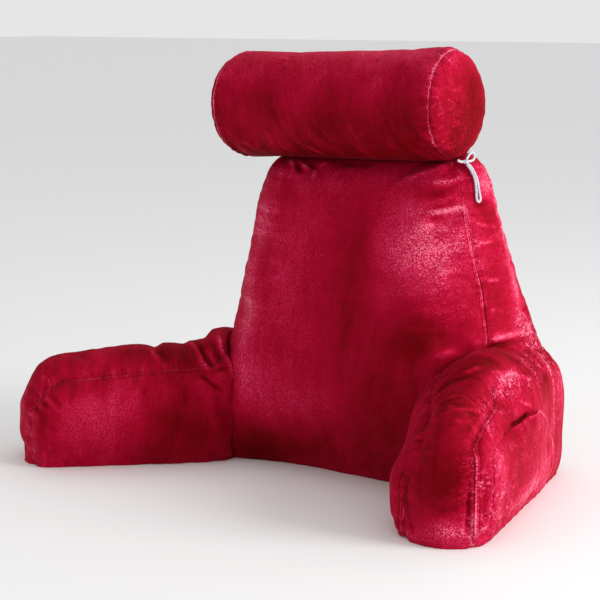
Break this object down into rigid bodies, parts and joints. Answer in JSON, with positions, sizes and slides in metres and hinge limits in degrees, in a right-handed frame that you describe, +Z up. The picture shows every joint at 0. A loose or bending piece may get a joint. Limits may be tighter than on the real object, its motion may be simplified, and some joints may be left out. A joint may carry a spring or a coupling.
{
  "type": "reading pillow with arms",
  "caption": "Plush reading backrest: a filled wedge with two soft bent arms, a round neck roll tied on its top, and a flat side pocket.",
  "frame": {"origin": "on the floor plane, in the flat base of the backrest, midway between the backrest's two sides at the base", "axes": "+Z up, -Y the way the sitter faces and the arms reach, +X on the right of a person who looks at the front"},
  "size_m": [0.8349, 0.4873, 0.644],
  "materials": {
    "red_plush": "short crimson velvet pile, soft sheen",
    "white_cord": "braided white elastic"
  },
  "bodies": {
    "root": {"backrest": "red_plush", "arm_right": "red_plush", "arm_left": "red_plush", "neck_roll": "red_plush", "arm_pocket": "red_plush", "tie_right_knot": "white_cord", "tie_right_hanging": "white_cord", "tie_right_bow": "white_cord", "tie_left_knot": "white_cord", "tie_left_hanging": "white_cord", "tie_left_bow": "white_cord"}
  },
  "joints": []
}
